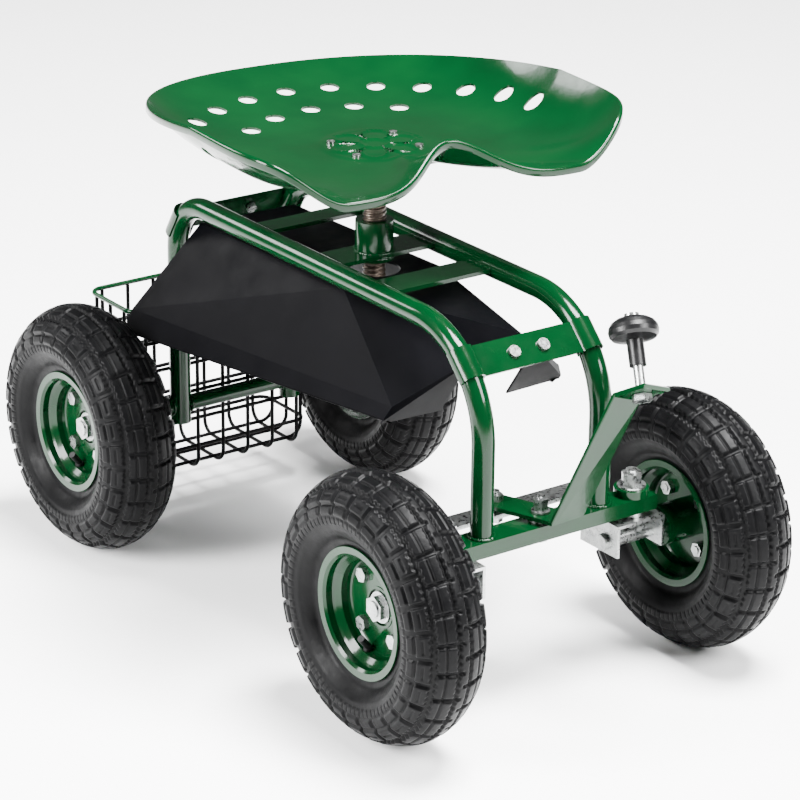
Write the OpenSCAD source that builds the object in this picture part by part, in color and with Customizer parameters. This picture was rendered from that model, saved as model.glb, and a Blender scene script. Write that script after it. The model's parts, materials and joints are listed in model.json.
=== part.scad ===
/* [Wheels] */
// Distance between the front and rear axles
wheelbase = 530; // [500:5:560]
// Distance between the centre planes of the front tyres
front_track = 364; // [360:2:376]
// Distance between the centre planes of the rear tyres
rear_track = 358; // [354:2:372]
// Outer diameter of a tyre
tyre_d = 260; // [250:2:262]
// Width of a tyre at its widest
tyre_w = 83; // [78:1:84]
// Diameter over the rim flanges
rim_d = 127.4; // [124:0.2:130]
// Diameter of the hub barrel
hub_d = 40; // [38:1:44]
// Diameter of every axle
axle_d = 16; // [14:1:18]

/* [Frame] */
// Outer diameter of the frame tube
tube_d = 22; // [20:1:25]
// Wall of the frame tube
tube_wall = 1.5; // [1:0.5:2.5]
// Distance between the two rails
rail_gap = 138; // [134:2:144]
// Height of the rail axis above the ground
rail_z = 361; // [350:1:372]
// Bend radius at the front of a rail
front_bend = 100; // [90:5:110]
// Bend radius at the rear of a rail
rear_bend = 55; // [50:1:60]
// Top of the front crossbar above the ground
crossbar_z = 172; // [170:1:174]
// Length of the front crossbar
crossbar_len = 260; // [254:2:264]
// Distance between the two kingpins
kingpin_gap = 220; // [216:2:224]

/* [Steering] */
// Angle of the lever's rear arm from straight back
arm_angle = 21.1; // [18:0.1:24]
// Radius from a steering pivot to its tie rod bolt
arm_r = 50; // [46:1:54]
// Diameter of the knob
knob_d = 48; // [40:1:50]

/* [Seat] */
// Width of the seat pan
seat_w = 408; // [390:2:450]
// Height of the middle of the seat pan above the ground
seat_z = 469; // [465:1:480]
// Turn of the seat about its screw, as it stands
seat_turn = -5; // [-20:1:20]
// Diameter of the seat screw
screw_d = 23; // [20:1:25]

/* [Tray and basket] */
// Height of the tray's ridge above the ground
tray_z = 341.7; // [338:0.1:344]
// Thickness of the tray sheet
tray_t = 1.6; // [1.2:0.2:2]
// Length of the wire basket
basket_w = 222; // [214:2:230]
// Height of the basket's rim above the ground
basket_z = 233; // [225:1:240]
// Height of the basket's floor above the ground
basket_floor_z = 40; // [36:1:48]

/* [Hidden] */
$fn = 48;

GREEN = [0.02, 0.30, 0.13];
BLACK = [0.05, 0.05, 0.06];
ZINC = [0.75, 0.77, 0.78];
STEEL = [0.28, 0.24, 0.20];

LEFT = 1;
RIGHT = -1;
gap = 0.05;           // between a welded piece and the one that it is welded to
run = 0.05;           // radial running clearance
slack = 0.3;          // between faces that turn or slide past each other

axle_y = wheelbase / 2;
axle_z = tyre_d / 2;
rail_x = rail_gap / 2;
kingpin_x = kingpin_gap / 2;
rear_leg_y = axle_y - 1.5;
rear_leg_bottom = 112;
front_bend_y = front_bend - axle_y;
rear_bend_y = rear_leg_y - rear_bend;
lever_z = crossbar_z + 4;       // underside of the lever's strip
strip_t = 4;
rod_z = crossbar_z - 6;         // underside of the tie rod
arm_x = -arm_r * sin(arm_angle);
arm_y = arm_r * cos(arm_angle) - axle_y;
web_z = crossbar_z - 23.5;      // underside of a knuckle's web
web_t = 3;
screw_y = 8.5;
basket_y0 = axle_y + 24;
basket_y1 = basket_y0 + 88;
wire_d = 2.5;
rim_wire_d = 5;
wire_pitch = 31.7;
corner_r = 15;

// ---- shared shapes ----------------------------------------------------

// a length of tube along +Z
module pipe(od, id, len) {
    difference() {
        cylinder(d = od, h = len);
        translate([0, 0, -1]) cylinder(d = id, h = len + 2);
    }
}

// a tube bend in the YZ plane about its own centre, from angle a0 through 90 degrees
module tube_bend(r, a0) {
    rotate([90, 0, 90]) rotate([0, 0, a0]) rotate_extrude(angle = 90, $fn = 96)
        translate([r, 0]) difference() {
            circle(d = tube_d);
            circle(d = tube_d - 2 * tube_wall);
        }
}

module along_x(side) {
    rotate([0, 90 * side, 0]) children();
}

module hex(af, h) {
    cylinder(d = af / cos(30), h = h, $fn = 6);
}

// a bolt with its head down at z = 0 and its shank up
module bolt(d, af, head, len) {
    hex(af, head);
    cylinder(d = d, h = len);
}

// a nut or a washer round a shank of diameter d
module nut(d, af, h) {
    difference() {
        hex(af, h);
        translate([0, 0, -1]) cylinder(d = d + 2 * gap, h = h + 2);
    }
}

module washer(d, od, h) {
    pipe(od, d + 2 * gap, h);
}

// ---- frame --------------------------------------------------------------

module rail(side) {
    color(GREEN) translate([side * rail_x, 0, 0]) difference() {
        union() {
            translate([0, -axle_y, crossbar_z + gap])
                pipe(tube_d, tube_d - 2 * tube_wall, rail_z - front_bend - crossbar_z - gap);
            translate([0, front_bend_y, rail_z - front_bend]) tube_bend(front_bend, 90);
            translate([0, front_bend_y, rail_z]) rotate([-90, 0, 0])
                pipe(tube_d, tube_d - 2 * tube_wall, rear_bend_y - front_bend_y);
            translate([0, rear_bend_y, rail_z - rear_bend]) tube_bend(rear_bend, 0);
            translate([0, rear_leg_y, rear_leg_bottom])
                pipe(tube_d, tube_d - 2 * tube_wall, rail_z - rear_bend - rear_leg_bottom);
        }
        translate([-tube_d, axle_y, axle_z]) along_x(1)
            cylinder(d = axle_tube_d + 2 * gap, h = 2 * tube_d);
    }
}

crossbar_d = 30;
crossbar_h = 15;

module front_crossbar() {
    color(GREEN) translate([0, -axle_y, crossbar_z - crossbar_h]) difference() {
        translate([-crossbar_len / 2, -crossbar_d / 2, 0])
            cube([crossbar_len, crossbar_d, crossbar_h]);
        translate([-crossbar_len / 2 + 2, -crossbar_d / 2 + 2, 2])
            cube([crossbar_len - 4, crossbar_d - 4, crossbar_h - 4]);
        for (side = [-1, 1]) translate([side * kingpin_x, 0, -1])
            cylinder(d = kingpin_d + 2 * run, h = crossbar_h + 2);
        translate([0, 0, -1]) cylinder(d = pivot_d + 2 * run, h = crossbar_h + 2);
    }
}

kingpin_d = 12;
pivot_d = 8;
boss_d = 34;
boss_h = 8;

module kingpin_bosses() {
    color(GREEN) for (side = [-1, 1])
        translate([side * kingpin_x, -axle_y, crossbar_z + gap])
            pipe(boss_d, kingpin_d + 2 * run, boss_h - gap);
}

axle_tube_d = 17;
axle_tube_end = 86;

module rear_axle_tube() {
    color(GREEN) translate([-axle_tube_end, axle_y, axle_z]) along_x(1)
        pipe(axle_tube_d, axle_d + 2 * gap, 2 * axle_tube_end);
}

hub_in = 38;          // from the rim's centre plane to the hub's inner end
hub_out = 2.5;
axle_out = 11;        // from the rim's centre plane to the axle's end
axle_washer = 0.3;    // from the rim's centre plane to the outer washer
axle_nut_af = 22;
collar_w = 9;

module rear_axle_rod() {
    half = rear_track / 2 + axle_out;
    color(ZINC) translate([-half, axle_y, axle_z]) along_x(1) cylinder(d = axle_d, h = 2 * half);
}

module axle_end(side, track) {
    translate([side * (track / 2 + axle_washer), 0, 0]) along_x(side) {
        washer(axle_d, 30, 2);
        translate([0, 0, 2 + gap]) nut(axle_d, axle_nut_af, 7);
    }
}

// washers and nuts outside the rear hubs and a stop collar inside each
module rear_axle_hardware() {
    color(ZINC) for (side = [-1, 1]) translate([0, axle_y, axle_z]) {
        axle_end(side, rear_track);
        translate([side * (rear_track / 2 - hub_in - slack - collar_w), 0, 0]) along_x(side)
            washer(axle_d, 26, collar_w);
    }
}

// a flat bar across the rails, let into neither of them
module cross_flat(y, w) {
    color(GREEN) difference() {
        translate([-rail_x - 7, y - w / 2, rail_z - 2]) cube([2 * rail_x + 14, w, 4]);
        for (side = [-1, 1]) translate([side * rail_x, y - w, rail_z]) rotate([-90, 0, 0])
            cylinder(d = tube_d + 2 * gap, h = 2 * w);
    }
}

collar_d = 38;
collar_h = 40;
collar_z = rail_z - 7;

module seat_cross_plate() {
    difference() {
        cross_flat(screw_y, 40);
        translate([0, screw_y, rail_z - 5]) cylinder(d = collar_d - 8 + 2 * gap, h = 10);
    }
}

module front_cross_flat() {
    cross_flat(-86, 36);
}

module rear_cross_flat() {
    cross_flat(127, 28);
}

// the threaded collar, with a neck through the plate and a shoulder on each face
module seat_collar() {
    neck_z = rail_z - 2 - gap;
    neck_h = 4 + 2 * gap;
    color(GREEN) translate([0, screw_y, 0]) difference() {
        union() {
            translate([0, 0, collar_z]) cylinder(d = collar_d, h = neck_z - collar_z);
            translate([0, 0, neck_z]) cylinder(d = collar_d - 8, h = neck_h);
            translate([0, 0, neck_z + neck_h])
                cylinder(d = collar_d, h = collar_z + collar_h - neck_z - neck_h);
        }
        translate([0, 0, collar_z - 1]) cylinder(d = screw_d + 2 * run, h = collar_h + 2);
    }
}

strap_t = 2;
strap_w = 32;
strap_screw_x = 17;

// a strap laid over both tubes, in its own frame: X across, Y along the bend, Z outward
module strap_shape(drop) {
    r = tube_d / 2 + gap;
    difference() {
        union() {
            for (side = [-1, 1]) translate([side * rail_x, -strap_w / 2, 0])
                rotate([-90, 0, 0]) cylinder(r = r + strap_t, h = strap_w);
            translate([-rail_x, -strap_w / 2, drop])
                cube([2 * rail_x, strap_w, strap_t]);
        }
        for (side = [-1, 1]) translate([side * rail_x, -strap_w, 0])
            rotate([-90, 0, 0]) cylinder(r = r, h = 2 * strap_w);
        for (side = [-1, 1]) translate([side * (rail_x + 4), 0, -r - 3])
            cube([30, 2 * strap_w, 2 * r], center = true);
        for (side = [-1, 1]) translate([side * strap_screw_x, 0, drop - 1])
            cylinder(d = 6 + 2 * gap, h = strap_t + 2);
    }
}

// places a strap at an angle round a bend: 0 is level with the bend's centre
module at_bend(cy, r, angle) {
    translate([0, cy + r * cos(angle), rail_z - r + r * sin(angle)])
        rotate([angle - 90, 0, 0]) children();
}

front_strap_angle = 135;
rear_strap_angle = 32;
strap_drop = 4;

module front_strap() {
    color(GREEN) at_bend(front_bend_y, front_bend, front_strap_angle) strap_shape(strap_drop);
}

module rear_strap() {
    color(GREEN) at_bend(rear_bend_y, rear_bend, rear_strap_angle) strap_shape(strap_drop);
}

module strap_screws() {
    color(ZINC) for (end = [0, 1]) at_bend(end == 0 ? front_bend_y : rear_bend_y,
        end == 0 ? front_bend : rear_bend, end == 0 ? front_strap_angle : rear_strap_angle)
        for (side = [-1, 1]) translate([side * strap_screw_x, 0, strap_drop]) {
            translate([0, 0, strap_t + gap]) cylinder(d = 12, h = 3);
            translate([0, 0, -6]) cylinder(d = 6, h = 6 + strap_t + gap + 1);
            translate([0, 0, -6]) hex(10, 5);
        }
}

// ---- tray ---------------------------------------------------------------

fall = 0.733;         // fall of the tray per mm from its ridge
pitch_y = 0.023;      // fall per mm towards the rear
band_fall = 1.95;     // fall of the outer band
sweep = 0.65;         // sweep of the front edge
skirt_z = 257;        // level bottom of the front skirt
skirt_lean = 0.695;   // how far the skirt leans back per mm of depth
screw_hole_d = 52;    // hole in the top round the seat screw
crease_y = -21;       // where the creases stop spreading from the front corner
crease_x = 57;        // half width of the flat top behind that

tray_front_y = 39.5 - axle_y;
tray_rear_y = axle_y - 29;
fold_x = 107.1;
fold_grow = 0.054;
edge_x = 116;
edge_grow = 0.071;

function tray_h(x, y) = tray_z - fall * x - pitch_y * y;
function front_x(x0, grow) = (x0 + grow * tray_front_y) / (1 - grow * sweep);
function front_at(x) = tray_front_y + sweep * x;
function band_h(x, y) = tray_h(fold_x + fold_grow * y, y)
    - band_fall * (x - fold_x - fold_grow * y);

fold_fx = front_x(fold_x, fold_grow);
edge_fx = front_x(edge_x, edge_grow);
ridge_f = [0, tray_front_y, tray_h(0, tray_front_y)];
crease_m = [crease_x, crease_y, tray_h(0, crease_y)];
crease_r = [crease_x, tray_rear_y, tray_h(0, tray_rear_y)];
fold_f = [fold_fx, front_at(fold_fx), tray_h(fold_fx, front_at(fold_fx))];
fold_r = [fold_x + fold_grow * axle_y, axle_y + 3, tray_h(fold_x + fold_grow * axle_y, axle_y + 3)];
edge_f = [edge_fx, front_at(edge_fx), band_h(edge_fx, front_at(edge_fx))];
edge_r = [132.5, axle_y + 4, band_h(132.5, axle_y + 4)];

function flip(p) = [-p[0], p[1], p[2]];
function skirt_foot(p) = [p[0], p[1] + skirt_lean * (p[2] - skirt_z), skirt_z];

// a flat panel between corner points, as thick as the sheet
module panel(points) {
    hull() for (p = points) translate(p) cube(tray_t, center = true);
}

module tray_half() {
    panel([ridge_f, crease_m, fold_f]);
    panel([crease_m, fold_r, fold_f]);
    panel([crease_m, crease_r, fold_r]);
    panel([fold_f, fold_r, edge_r, edge_f]);
    mid = [40, front_at(40), tray_h(40, front_at(40))];
    panel([edge_f, fold_f, mid, skirt_foot(mid), skirt_foot(edge_f)]);
}

module tray() {
    color(BLACK) difference() {
        union() {
            panel([ridge_f, crease_m, crease_r, flip(crease_r), flip(crease_m)]);
            tray_half();
            mirror([1, 0, 0]) tray_half();
        }
        for (side = [-1, 1]) translate([side * rail_x, rear_leg_y, rear_leg_bottom])
            cylinder(d = tube_d + 2, h = rail_z - rear_leg_bottom);
        translate([0, screw_y, skirt_z]) cylinder(d = screw_hole_d, h = rail_z - skirt_z);
    }
}

// ---- basket -------------------------------------------------------------

module wire(p, len, axis, d = wire_d) {
    turn = axis == "x" ? [0, 90, 0] : axis == "y" ? [-90, 0, 0] : [0, 0, 0];
    translate(p) rotate(turn) cylinder(d = d, h = len, $fn = 24);
}

// a quarter turn of wire about Z, from +X to +Y
module wire_corner(r, d = wire_d) {
    rotate_extrude(angle = 90, $fn = 24) translate([r, 0]) circle(d = d);
}

half_w = basket_w / 2;
basket_d = basket_y1 - basket_y0;
basket_cy = (basket_y0 + basket_y1) / 2;
cross_n = 3;
long_ys = [basket_y0 + corner_r + 1, basket_cy, basket_y1 - corner_r - 1];
loop_zs = [for (i = [0:4]) basket_floor_z + 26 + 32 * i];
wall_top = basket_z - rim_wire_d / 2;
bite = 0.4;           // depth to which crossing wires are welded into each other
lift = wire_d - bite;

module basket_rim() {
    r = corner_r;
    color(GREEN) translate([0, 0, basket_z]) {
        for (s = [-1, 1]) {
            wire([-half_w + r, s > 0 ? basket_y1 : basket_y0, 0], basket_w - 2 * r, "x",
                rim_wire_d);
            wire([s * half_w, basket_y0 + r, 0], basket_d - 2 * r, "y", rim_wire_d);
        }
        translate([half_w - r, basket_y1 - r, 0]) wire_corner(r, rim_wire_d);
        translate([-half_w + r, basket_y1 - r, 0]) rotate([0, 0, 90])
            wire_corner(r, rim_wire_d);
        translate([-half_w + r, basket_y0 + r, 0]) rotate([0, 0, 180])
            wire_corner(r, rim_wire_d);
        translate([half_w - r, basket_y0 + r, 0]) rotate([0, 0, 270])
            wire_corner(r, rim_wire_d);
    }
}

module basket_floor() {
    color(BLACK) {
        for (i = [-cross_n:cross_n])
            wire([i * wire_pitch, basket_y0 + corner_r, basket_floor_z],
                basket_d - 2 * corner_r, "y");
        for (y = long_ys)
            wire([-half_w + corner_r, y, basket_floor_z + lift], basket_w - 2 * corner_r, "x");
    }
}

// a long wall: side is -1 at the front and 1 at the rear
module basket_wall(side) {
    y = side > 0 ? basket_y1 : basket_y0;
    color(BLACK) {
        for (i = [-cross_n:cross_n]) {
            wire([i * wire_pitch, y, basket_floor_z + corner_r],
                wall_top - basket_floor_z - corner_r, "z");
            translate([i * wire_pitch, y - side * corner_r, basket_floor_z + corner_r])
                rotate([90, 0, 90]) rotate([0, 0, side > 0 ? 270 : 180])
                    wire_corner(corner_r);
        }
        for (z = loop_zs)
            wire([-half_w + corner_r, y - side * lift, z], basket_w - 2 * corner_r, "x");
    }
}

module basket_front() {
    basket_wall(-1);
}

module basket_rear() {
    basket_wall(1);
}

module basket_end(side) {
    inner_r = corner_r - lift;
    color(BLACK) scale([side, 1, 1]) {
        for (y = long_ys) {
            wire([half_w, y, basket_floor_z + lift + corner_r],
                wall_top - basket_floor_z - lift - corner_r, "z");
            translate([half_w - corner_r, y, basket_floor_z + lift + corner_r])
                rotate([90, 0, 0]) rotate([0, 0, 270]) wire_corner(corner_r);
        }
        for (z = loop_zs) {
            wire([half_w - lift, basket_y0 + corner_r, z], basket_d - 2 * corner_r, "y");
            translate([half_w - corner_r, basket_y1 - corner_r, z]) wire_corner(inner_r);
            translate([half_w - corner_r, basket_y0 + corner_r, z]) rotate([0, 0, 270])
                wire_corner(inner_r);
        }
    }
}

bracket_w = 18;
bracket_t = 3;

// a flat lug from each rear leg that hooks over the basket's rim
module basket_brackets() {
    r = rim_wire_d / 2 + gap;
    color(GREEN) for (side = [-1, 1])
        translate([side * rail_x - bracket_w / 2, 0, 0]) difference() {
            union() {
                translate([0, rear_leg_y, basket_z - 20])
                    cube([bracket_w, basket_y0 - rear_leg_y - r, bracket_t]);
                translate([0, basket_y0 - r - bracket_t, basket_z - 20])
                    cube([bracket_w, bracket_t, 20]);
                translate([0, basket_y0, basket_z]) along_x(1)
                    cylinder(r = r + bracket_t, h = bracket_w);
            }
            translate([-1, basket_y0, basket_z]) along_x(1)
                cylinder(r = r, h = bracket_w + 2);
            translate([-1, basket_y0 - r, basket_z - 21]) cube([bracket_w + 2, 20, 21]);
            translate([bracket_w / 2, rear_leg_y, basket_z - 30])
                cylinder(d = tube_d + 2 * gap, h = 50);
        }
}

// ---- steering -------------------------------------------------------------

thrust_h = 5;

module kingpin_bolts() {
    color(ZINC) for (side = [-1, 1]) translate([side * kingpin_x, -axle_y, web_z - 8 - slack])
        bolt(kingpin_d, 18, 8, 26 + crossbar_z - web_z + 8 + slack);
}

// nut and washer above each boss and a thrust washer under the crossbar
module kingpin_nuts() {
    under = crossbar_z - crossbar_h - web_z - web_t;
    color(ZINC) for (side = [-1, 1]) translate([side * kingpin_x, -axle_y, 0]) {
        translate([0, 0, crossbar_z + boss_h + gap]) washer(kingpin_d, 28, 2.5);
        translate([0, 0, crossbar_z + boss_h + 2.5 + 2 * gap]) nut(kingpin_d, 18, 12);
        translate([0, 0, web_z + web_t + slack])
            washer(kingpin_d, 26, under - slack - gap);
    }
}

// the bolt, the spacer under the lever and the nuts over it
module steering_pivot_bolt() {
    bottom = crossbar_z - crossbar_h - 5.5 - gap;
    color(ZINC) translate([0, -axle_y, 0]) {
        translate([0, 0, bottom]) bolt(pivot_d, 13, 5.5, crossbar_z + 25 - bottom);
        translate([0, 0, crossbar_z + gap]) washer(pivot_d, 22, 4 - gap - slack);
        translate([0, 0, lever_z + strip_t + slack]) washer(pivot_d, 18, 2);
        translate([0, 0, lever_z + strip_t + slack + 2 + gap]) nut(pivot_d, 13, 6);
        translate([0, 0, lever_z + strip_t + slack + 8 + 2 * gap]) nut(pivot_d, 13, 6);
    }
}

strip_w = 30;
// the blade's direction upward, and its corners at the fold and at the top
fold_near = [-6, -290, 178];
fold_far = [30, -288, 178];
blade_near = [43, -316, 305];
blade_far = [73, -314, 294];
tab_near = [52, -346, 322];
tab_far = [82, -344, 311];
stem_foot = [62.5, -330, 308];
stem_dir = [0.25, 0.54, 0.80];

// a flat run of the lever between corner points
module strap_panel(points) {
    hull() for (p = points) translate(p) cube(3, center = true);
}

module at_lever_arm(r) {
    translate([0, -axle_y, 0]) rotate([0, 0, arm_angle]) translate([0, r, 0]) children();
}

module steering_lever() {
    color(GREEN) union() {
        difference() {
            union() {
                translate([0, -axle_y, lever_z]) rotate([0, 0, arm_angle])
                    translate([-strip_w / 2, -20, 0]) cube([strip_w, arm_r + 20, strip_t]);
                at_lever_arm(arm_r) translate([0, 0, lever_z])
                    cylinder(d = strip_w, h = strip_t);
            }
            translate([0, -axle_y, lever_z - 1]) cylinder(d = pivot_d + 2 * run, h = 6);
            at_lever_arm(arm_r) translate([0, 0, lever_z - 1])
                cylinder(d = pivot_d + 2 * gap, h = 6);
        }
        strap_panel([[-8.5, -279, 178], [18, -270, 178], fold_near, fold_far]);
        strap_panel([fold_near, fold_far, blade_near, blade_far]);
        difference() {
            strap_panel([blade_near, blade_far, tab_near, tab_far]);
            at_stem(-6) cylinder(d = stem_d + 2 * gap, h = 12);
        }
    }
}

stem_d = 10;
stem_tilt = acos(0.80 / norm(stem_dir));
stem_heading = atan2(0.54, 0.25);
sleeve_z = 25;
stem_len = 74;

module at_stem(z) {
    translate(stem_foot) rotate([0, 0, stem_heading]) rotate([0, stem_tilt, 0])
        translate([0, 0, z]) children();
}

// the stem with its foot nut, a shoulder under the knob and the screw head over it
module knob_stem() {
    color(GREEN) at_stem(-3) cylinder(d = stem_d, h = stem_len + 1);
    color(ZINC) at_stem(-9) nut(stem_d, 17, 6);
    color(ZINC) at_stem(stem_len - 1.9) cylinder(d = 14, h = 3);
}

// mushroom knob with its sleeve, free to turn on the stem
module knob() {
    r = knob_d / 2;
    top = stem_len - 2 - slack;
    color(BLACK) at_stem(0) rotate_extrude() polygon([
        [stem_d / 2 + run, sleeve_z], [8, sleeve_z], [8, top - 22], [r - 3, top - 20],
        [r - 0.6, top - 17], [r, top - 13], [r - 0.8, top - 9], [r - 3.5, top - 5],
        [r - 8, top - 2], [r - 14, top], [stem_d / 2 + run, top]
    ]);
}

// bolt that joins the lever to the tie rod, with the spacer between them
module lever_tie_bolt() {
    color(ZINC) at_lever_arm(arm_r) {
        translate([0, 0, rod_z - 7 - slack]) hex(13, 6.5);
        translate([0, 0, rod_z - 7 - slack])
            cylinder(d = pivot_d, h = lever_z + 14 - rod_z + 7 + slack);
        translate([0, 0, rod_z + strip_t + slack]) washer(pivot_d, 14,
            lever_z - rod_z - strip_t - slack - gap);
        translate([0, 0, lever_z + strip_t + gap]) nut(pivot_d, 13, 6.5);
    }
}

tie_w = 25;

module tie_rod() {
    color(ZINC) translate([arm_x, arm_y, rod_z]) difference() {
        union() {
            translate([-kingpin_x, -tie_w / 2, 0]) cube([kingpin_gap, tie_w, strip_t]);
            for (s = [-1, 1]) translate([s * kingpin_x, 0, 0])
                cylinder(d = tie_w, h = strip_t);
        }
        for (s = [-1, 0, 1]) translate([s * kingpin_x, 0, -1])
            cylinder(d = pivot_d + 4 * run, h = strip_t + 2);
    }
}

knuckle_in = 31.5;    // from the kingpin to the inner face of the inboard flange
knuckle_out = 26.5;
flange_bottom = axle_z - 11;

// channel that opens downward, with an arm back to the tie rod
module knuckle(side) {
    x_in = side * (kingpin_x - knuckle_in);
    x_out = side * (kingpin_x + knuckle_out);
    x0 = min(x_in, x_out);
    x1 = max(x_in, x_out);
    color(ZINC) translate([0, -axle_y, 0]) difference() {
        union() {
            translate([x0, -20, web_z]) cube([x1 - x0, 42, web_t]);
            hull() {
                translate([side * kingpin_x - 14, 8, web_z]) cube([28, 10, web_t]);
                translate([side * kingpin_x + arm_x, arm_y + axle_y, web_z])
                    cylinder(d = 24, h = web_t);
            }
            translate([x_in - (side > 0 ? 0 : web_t), -20, flange_bottom])
                cube([web_t, 56, web_z + web_t - flange_bottom]);
            translate([x_out - (side > 0 ? web_t : 0), -20, flange_bottom])
                cube([web_t, 42, web_z + web_t - flange_bottom]);
        }
        translate([side * kingpin_x + arm_x, arm_y + axle_y, web_z - 1])
            cylinder(d = pivot_d + 2 * gap, h = web_t + 2);
        translate([side * kingpin_x, 0, web_z - 1])
            cylinder(d = kingpin_d + 2 * run, h = web_t + 2);
        translate([x0 - 1, 0, axle_z]) along_x(1)
            cylinder(d = axle_d + 2 * gap, h = x1 - x0 + 2);
    }
}

// bolt through the arm's end, with the spacer under the tie rod and the nut over it
module knuckle_bolt(side) {
    head = 6;
    color(ZINC) translate([side * kingpin_x + arm_x, arm_y, 0]) {
        translate([0, 0, web_z - head - gap])
            bolt(pivot_d, 13, head, rod_z + strip_t + 12 - web_z + head);
        translate([0, 0, web_z + web_t + gap])
            washer(pivot_d, 14, rod_z - slack - web_z - web_t - gap);
        translate([0, 0, rod_z + strip_t + slack]) nut(pivot_d, 13, 6);
    }
}

// the axle stub with its inner collar, its spacer, outer washer and nut
module stub_axle(side) {
    inner = kingpin_x - knuckle_in - 5;
    outer = front_track / 2 + axle_out;
    face = kingpin_x + knuckle_out;
    color(ZINC) translate([0, -axle_y, axle_z]) {
        translate([side * inner, 0, 0]) along_x(side) cylinder(d = axle_d, h = outer - inner);
        translate([side * (face + gap), 0, 0]) along_x(side)
            washer(axle_d, 24, front_track / 2 - hub_in - face - gap - slack);
        axle_end(side, front_track);
    }
}

// ---- seat -----------------------------------------------------------------

screw_bottom = rail_z - 31;
bracket_z = 447;

module seat_screw() {
    color(STEEL) translate([0, screw_y, screw_bottom])
        cylinder(d = screw_d, h = bracket_z - slack - screw_bottom);
}

module at_seat() {
    translate([0, screw_y, 0]) rotate([0, 0, seat_turn]) children();
}

bracket_h = 12;
bracket_bolt_x = 35;
bracket_bolt_y = 25;

// a flanged socket on the screw's top, bolted up under the pan
module seat_bracket() {
    color(GREEN) at_seat() translate([0, 0, bracket_z]) difference() {
        union() {
            cylinder(d = 40, h = bracket_h);
            translate([-50, -40, bracket_h - 4]) cube([100, 80, 4]);
        }
        for (sx = [-1, 1]) for (sy = [-1, 1])
            translate([sx * bracket_bolt_x, sy * bracket_bolt_y, -1])
                cylinder(d = 8 + 2 * gap, h = bracket_h + 2);
    }
}

half_seat = seat_w / 2;
seat_back = 255;      // from the pan's own middle to its back
seat_front = 160;     // and to the front of its lobes
seat_shift = -12;     // the pan's own middle, from the screw's axis
rim_back_z = 489;
rim_side_z = 521;
lobe_z = 479;
notch_depth = 37;
notch_rise = 32;
notch_w = 49;
lobe_x = 125;
pan_t = 2.5;
rim_thicker = 1.6;    // how much thicker the rolled rim is than the sheet
rise_back = 2.8;      // powers by which the pan rises from its middle to its rim
rise_side = 7.7;
sectors = 72;
rings = 9;
holes_outer = 13;
holes_inner = 5;

function bump(p, w) = exp(-(p / w) * (p / w));
function ease(t) = t <= 0 ? 0 : t >= 1 ? 1 : t * t * (3 - 2 * t);
// plan outline of the pan at angle a, where 0 is the back and 90 is one side
function super(c, s, b, n) = 1 / pow(pow(abs(s) / half_seat, n) + pow(abs(c) / b, n), 1 / n);
function outline(a) = cos(a) >= 0
    ? let (r = super(cos(a), sin(a), seat_back, 2.3)) [r * sin(a), r * cos(a) + seat_shift]
    : let (r = super(cos(a), sin(a), seat_front, 5.2), p = r * sin(a))
        [p, r * cos(a) + seat_shift + notch_depth * bump(p, notch_w)];
function rim_front_z(p) = lobe_z + notch_rise * bump(p, notch_w)
    + (rim_side_z - lobe_z) * ease((abs(p) - lobe_x) / (half_seat - lobe_x));
function rim_z(a, o) = cos(a) >= 0
    ? rim_side_z + (rim_back_z - rim_side_z) * (o[1] - seat_shift) / seat_back
    : rim_front_z(o[0]);
function rise(a) = rise_back + (rise_side - rise_back) * sin(a) * sin(a);
function drop_at(t) = pan_t * (1 + rim_thicker * pow(t, 6));
function pan_point(a, t, drop) = let (o = outline(a))
    [o[0] * t, o[1] * t, seat_z + (rim_z(a, o) - seat_z) * pow(t, rise(a)) - drop];

pan_n = sectors * rings;
pan_points = concat(
    [[0, 0, seat_z]],
    [for (j = [1:rings]) for (i = [0:sectors - 1]) pan_point(i * 360 / sectors, j / rings, 0)],
    [[0, 0, seat_z - pan_t]],
    [for (j = [1:rings]) for (i = [0:sectors - 1]) pan_point(i * 360 / sectors, j / rings,
        drop_at(j / rings))]
);
function top_i(j, i) = j == 0 ? 0 : 1 + (j - 1) * sectors + i % sectors;
function low_i(j, i) = top_i(j, i) + pan_n + 1;
pan_faces = concat(
    [for (i = [0:sectors - 1]) [0, top_i(1, i), top_i(1, i + 1)]],
    [for (i = [0:sectors - 1]) [pan_n + 1, low_i(1, i + 1), low_i(1, i)]],
    [for (j = [1:rings - 1]) for (i = [0:sectors - 1]) for (h = [0, 1]) h == 0
        ? [top_i(j, i), top_i(j + 1, i), top_i(j + 1, i + 1)]
        : [top_i(j, i), top_i(j + 1, i + 1), top_i(j, i + 1)]],
    [for (j = [1:rings - 1]) for (i = [0:sectors - 1]) for (h = [0, 1]) h == 0
        ? [low_i(j, i), low_i(j + 1, i + 1), low_i(j + 1, i)]
        : [low_i(j, i), low_i(j, i + 1), low_i(j + 1, i + 1)]],
    [for (i = [0:sectors - 1]) for (h = [0, 1]) h == 0
        ? [top_i(rings, i), low_i(rings, i), low_i(rings, i + 1)]
        : [top_i(rings, i), low_i(rings, i + 1), top_i(rings, i + 1)]]
);

module pan_holes(n, r, pitch, d) {
    for (k = [0:n - 1]) rotate([0, 0, (k - (n - 1) / 2) * pitch]) translate([0, r, 440])
        cylinder(d = d, h = 80, $fn = 20);
}

module seat_pan() {
    color(GREEN) at_seat() difference() {
        polyhedron(points = pan_points, faces = pan_faces, convexity = 6);
        pan_holes(holes_outer, 180, 15.2, 19);
        pan_holes(holes_inner, 128, 20.6, 19);
        for (sx = [-1, 1]) for (sy = [-1, 1])
            translate([sx * bracket_bolt_x, sy * bracket_bolt_y, 440])
                cylinder(d = 8.4, h = 80, $fn = 20);
    }
}

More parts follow.
